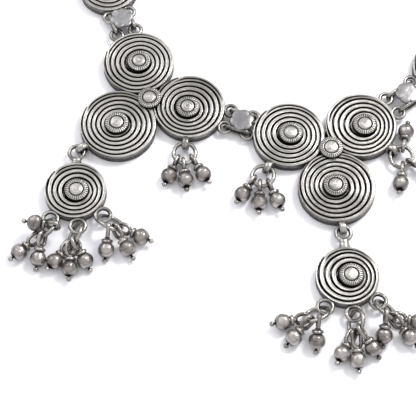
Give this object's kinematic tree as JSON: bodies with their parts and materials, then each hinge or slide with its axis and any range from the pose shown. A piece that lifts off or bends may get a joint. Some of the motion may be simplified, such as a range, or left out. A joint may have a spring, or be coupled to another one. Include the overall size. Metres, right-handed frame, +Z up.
{
  "type": "choker with wound-wire discs and bead drops",
  "caption": "Oxidised silver choker of wound-wire disc trefoils joined by flower links, with disc pendants, bunched bead drops and a chain back, lying flat.",
  "frame": {"origin": "middle of the centre trefoil, on the flat back that the choker lies on", "axes": "+Z up from the surface it lies on, +Y from the front of the neck to the back, +X to the right seen from the front"},
  "size_m": [0.2049, 0.1957, 0.0079],
  "materials": {
    "wound_silver": "satin, dark in the grooves",
    "petal_silver": "satin",
    "ring_silver": "worn, tarnished in the corners",
    "pin_silver": "worn, tarnished",
    "bead_silver": "dark oxidised, hand made",
    "chain_silver": "worn, tarnished"
  },
  "bodies": {
    "root": {"beads_disc_centre_east": "bead_silver", "beads_disc_centre_west": "bead_silver", "beads_disc_left_east": "bead_silver", "beads_disc_right_west": "bead_silver", "beads_pendant_centre_east": "bead_silver", "beads_pendant_centre_mid": "bead_silver", "beads_pendant_centre_west": "bead_silver", "beads_pendant_left_east": "bead_silver", "beads_pendant_left_mid": "bead_silver", "beads_pendant_left_west": "bead_silver", "beads_pendant_right_east": "bead_silver", "beads_pendant_right_mid": "bead_silver", "beads_pendant_right_west": "bead_silver", "chain_left": "chain_silver", "chain_right": "chain_silver", "clasp_hook": "chain_silver", "end_disc_left": "wound_silver", "end_disc_right": "wound_silver", "flower_link_left_front": "petal_silver", "flower_link_left_side": "petal_silver", "flower_link_right_front": "petal_silver", "flower_link_right_side": "petal_silver", "pendant_centre": "wound_silver", "pendant_left": "wound_silver", "pendant_right": "wound_silver", "pins_disc_centre_east": "pin_silver", "pins_disc_centre_west": "pin_silver", "pins_disc_left_east": "pin_silver", "pins_disc_right_west": "pin_silver", "pins_pendant_centre_east": "pin_silver", "pins_pendant_centre_mid": "pin_silver", "pins_pendant_centre_west": "pin_silver", "pins_pendant_left_east": "pin_silver", "pins_pendant_left_mid": "pin_silver", "pins_pendant_left_west": "pin_silver", "pins_pendant_right_east": "pin_silver", "pins_pendant_right_mid": "pin_silver", "pins_pendant_right_west": "pin_silver", "ring_disc_centre_east": "ring_silver", "ring_disc_centre_west": "ring_silver", "ring_disc_left_east": "ring_silver", "ring_disc_right_west": "ring_silver", "ring_pendant_centre_east": "ring_silver", "ring_pendant_centre_mid": "ring_silver", "ring_pendant_centre_west": "ring_silver", "ring_pendant_left_east": "ring_silver", "ring_pendant_left_mid": "ring_silver", "ring_pendant_left_west": "ring_silver", "ring_pendant_right_east": "ring_silver", "ring_pendant_right_mid": "ring_silver", "ring_pendant_right_west": "ring_silver", "trefoil_centre": "wound_silver", "trefoil_left": "wound_silver", "trefoil_right": "wound_silver"}
  },
  "joints": []
}
